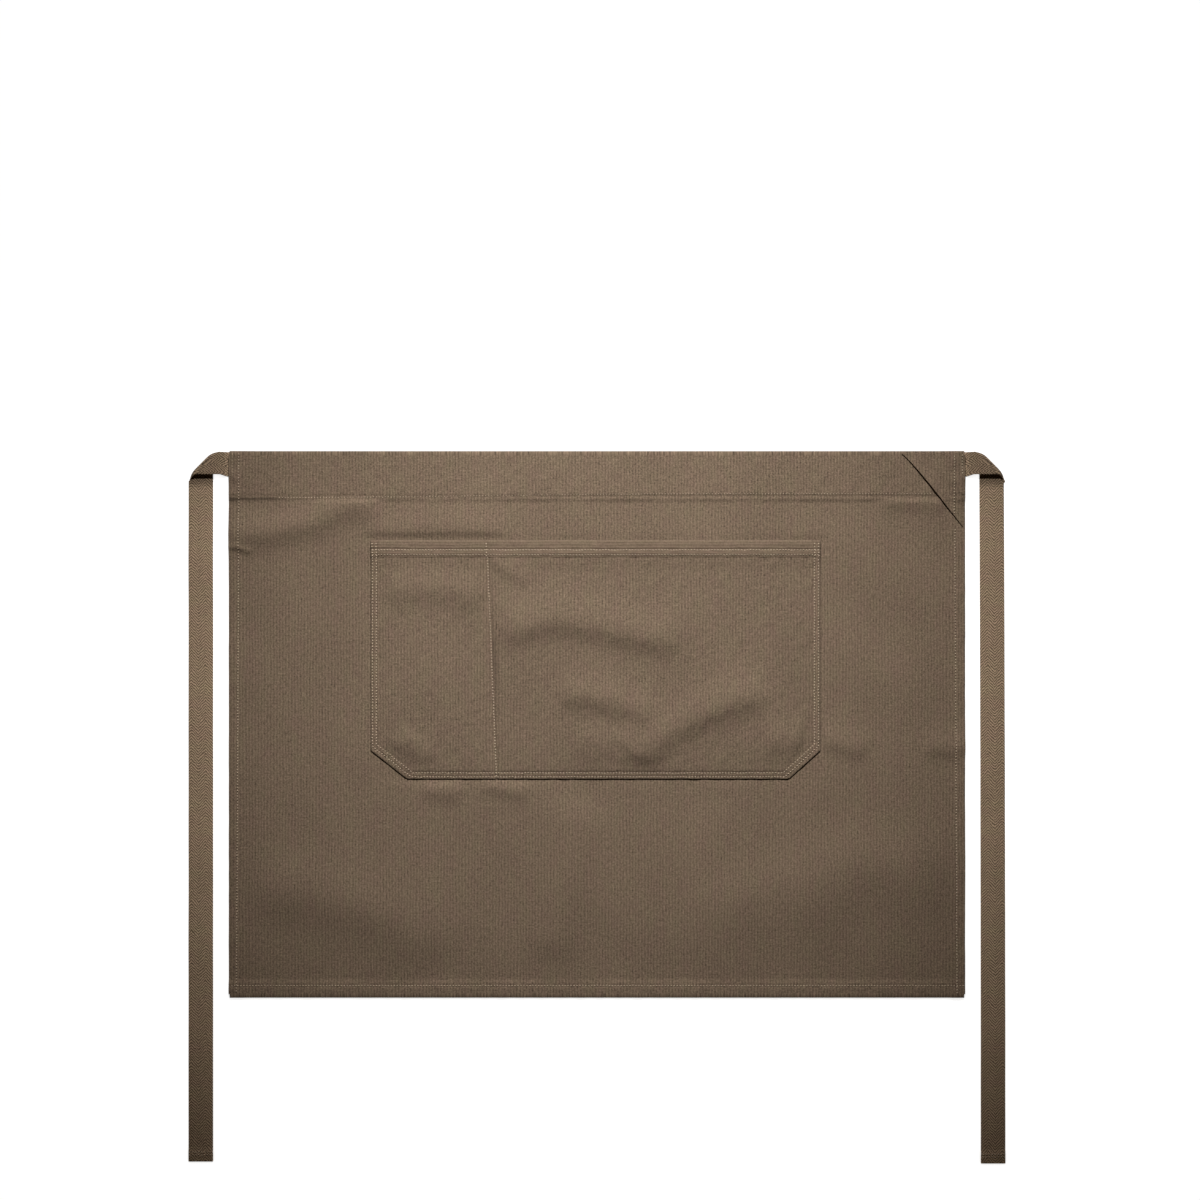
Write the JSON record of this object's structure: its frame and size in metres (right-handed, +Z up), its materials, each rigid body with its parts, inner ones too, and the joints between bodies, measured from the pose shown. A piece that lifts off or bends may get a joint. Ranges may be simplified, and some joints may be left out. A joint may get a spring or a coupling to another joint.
{
  "type": "waist apron",
  "caption": "Waist apron laid flat: wide cloth panel with turned waistband and hems, low two-compartment front pocket, sewn corner tab and tape ties folded down beside it",
  "frame": {"origin": "on the surface that the apron lies on, under the centre of its whole outline, ties included", "axes": "+X to the right of the apron's face, +Y from the bottom hem to the waist, +Z up out of the face"},
  "size_m": [0.832, 0.7256, 0.0109],
  "materials": {
    "apron_cloth": "matte brown twill cloth",
    "tie_tape": "matte brown herringbone tape"
  },
  "bodies": {
    "root": {"apron_panel": "apron_cloth", "pocket": "apron_cloth", "pocket_band": "apron_cloth", "corner_tab": "apron_cloth", "left_tie": "tie_tape", "right_tie": "tie_tape"}
  },
  "joints": []
}
